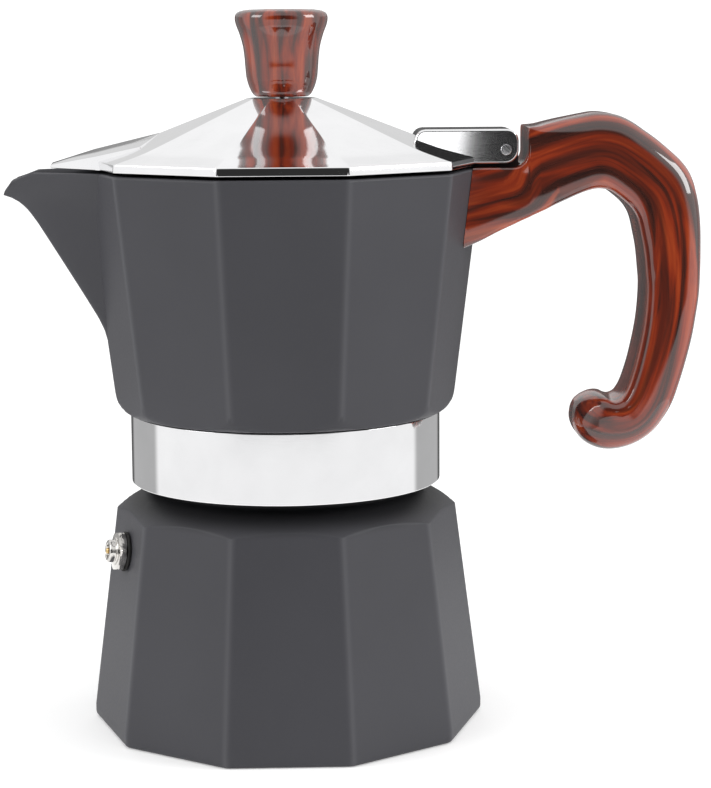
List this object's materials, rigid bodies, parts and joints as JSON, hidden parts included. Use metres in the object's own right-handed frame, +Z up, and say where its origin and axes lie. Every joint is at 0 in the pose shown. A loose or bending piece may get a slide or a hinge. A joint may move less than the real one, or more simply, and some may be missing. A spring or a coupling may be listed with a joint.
{
  "type": "moka pot",
  "caption": "Ten-sided stovetop coffee maker: boiler with safety valve, lift-out coffee funnel, screw-on jug with spout and hook handle, and a hinged lid with a knob.",
  "frame": {"origin": "centre of the boiler's flat underside, where the pot rests", "axes": "+Z up, spout along -X, handle and lid hinge along +X"},
  "size_m": [0.1603, 0.0876, 0.1657],
  "materials": {
    "body_paint": "satin anthracite paint on cast aluminium",
    "bright_band": "mirror polished",
    "polished_lid": "mirror polished aluminium",
    "valve_chrome": "bright nickel plate",
    "bare_aluminium": "machined satin",
    "steel": "turned steel",
    "brass": "turned brass",
    "rubber": "matt cream silicone",
    "fibre": "matt black sealing ring",
    "wood_pattern": "glossy moulding with a red-brown wood grain pattern"
  },
  "bodies": {
    "boiler": {"boiler": "body_paint", "valve_body": "valve_chrome", "valve_seal": "fibre", "valve_seat": "brass", "valve_spring": "steel"},
    "poppet": {"valve_pin": "brass"},
    "funnel": {"coffee_funnel": "bare_aluminium", "funnel_strainer": "bare_aluminium"},
    "gasket": {"gasket": "rubber"},
    "filter": {"filter_plate": "bare_aluminium"},
    "jug": {"jug": "body_paint", "collar_band": "bright_band", "standpipe": "bare_aluminium", "standpipe_cap": "bare_aluminium", "handle": "wood_pattern", "handle_screw": "steel", "hinge_pin": "steel"},
    "lid": {"lid": "polished_lid", "knob": "wood_pattern", "knob_insert": "brass", "knob_screw": "steel", "knob_washer": "steel"}
  },
  "joints": [
    {"name": "funnel_lift", "type": "slide", "parent": "boiler", "child": "funnel", "axis": [0, 0, 1], "range_m": [0, 0.07]},
    {"name": "top_lift", "type": "slide", "parent": "funnel", "child": "gasket", "axis": [0, 0, 1], "range_m": [0, 0.05]},
    {"name": "thread_rise", "type": "slide", "parent": "gasket", "child": "filter", "axis": [0, 0, 1], "range_m": [0, 0.0068]},
    {"name": "top_unscrew", "type": "hinge", "parent": "filter", "child": "jug", "pos_m": [0, 0, 0.0738], "axis": [0, 0, 1], "range_deg": [0, 810]},
    {"name": "lid_hinge", "type": "hinge", "parent": "jug", "child": "lid", "pos_m": [0.0509, 0, 0.13365], "axis": [0, 1, 0], "range_deg": [0, 90]},
    {"name": "valve_vent", "type": "slide", "parent": "boiler", "child": "poppet", "axis": [-0.944, -0.3067, 0.1212], "range_m": [0, 0.0012], "stiffness_N_per_m": 300, "springref_m": -0.0017, "deforming": ["valve_spring"]}
  ],
  "couplings": [
    {"joint": "thread_rise", "follows": "top_unscrew", "m_per_rad": 0.00047746}
  ]
}
